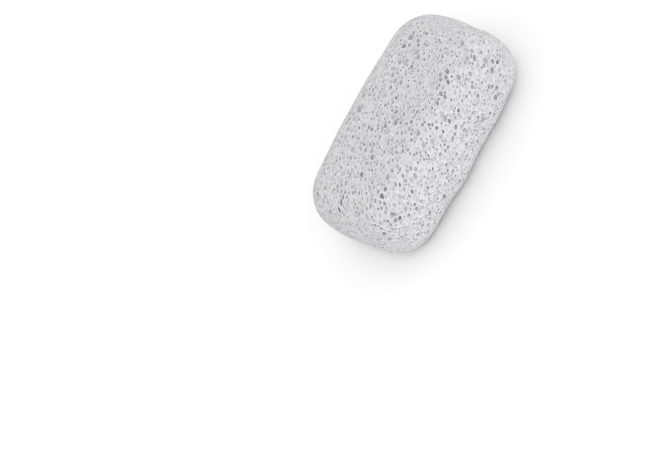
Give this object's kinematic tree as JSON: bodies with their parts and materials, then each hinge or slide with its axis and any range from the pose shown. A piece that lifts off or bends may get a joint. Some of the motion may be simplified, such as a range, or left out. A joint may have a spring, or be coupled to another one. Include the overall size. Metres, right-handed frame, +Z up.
{
  "type": "pumice stone",
  "caption": "Hand-held pumice stone for smoothing skin: a soap-bar shape of light grey foamed stone with rounded edges, lying on a broad face.",
  "frame": {"origin": "middle of the underside, on the surface that the stone lies on", "axes": "+X along the length, +Y across the width, +Z up through the thickness"},
  "size_m": [0.092, 0.0554, 0.0311],
  "materials": {
    "pumice": "dry, matt, light grey foamed stone full of small open bubbles"
  },
  "bodies": {
    "root": {"pumice_stone": "pumice"}
  },
  "joints": []
}
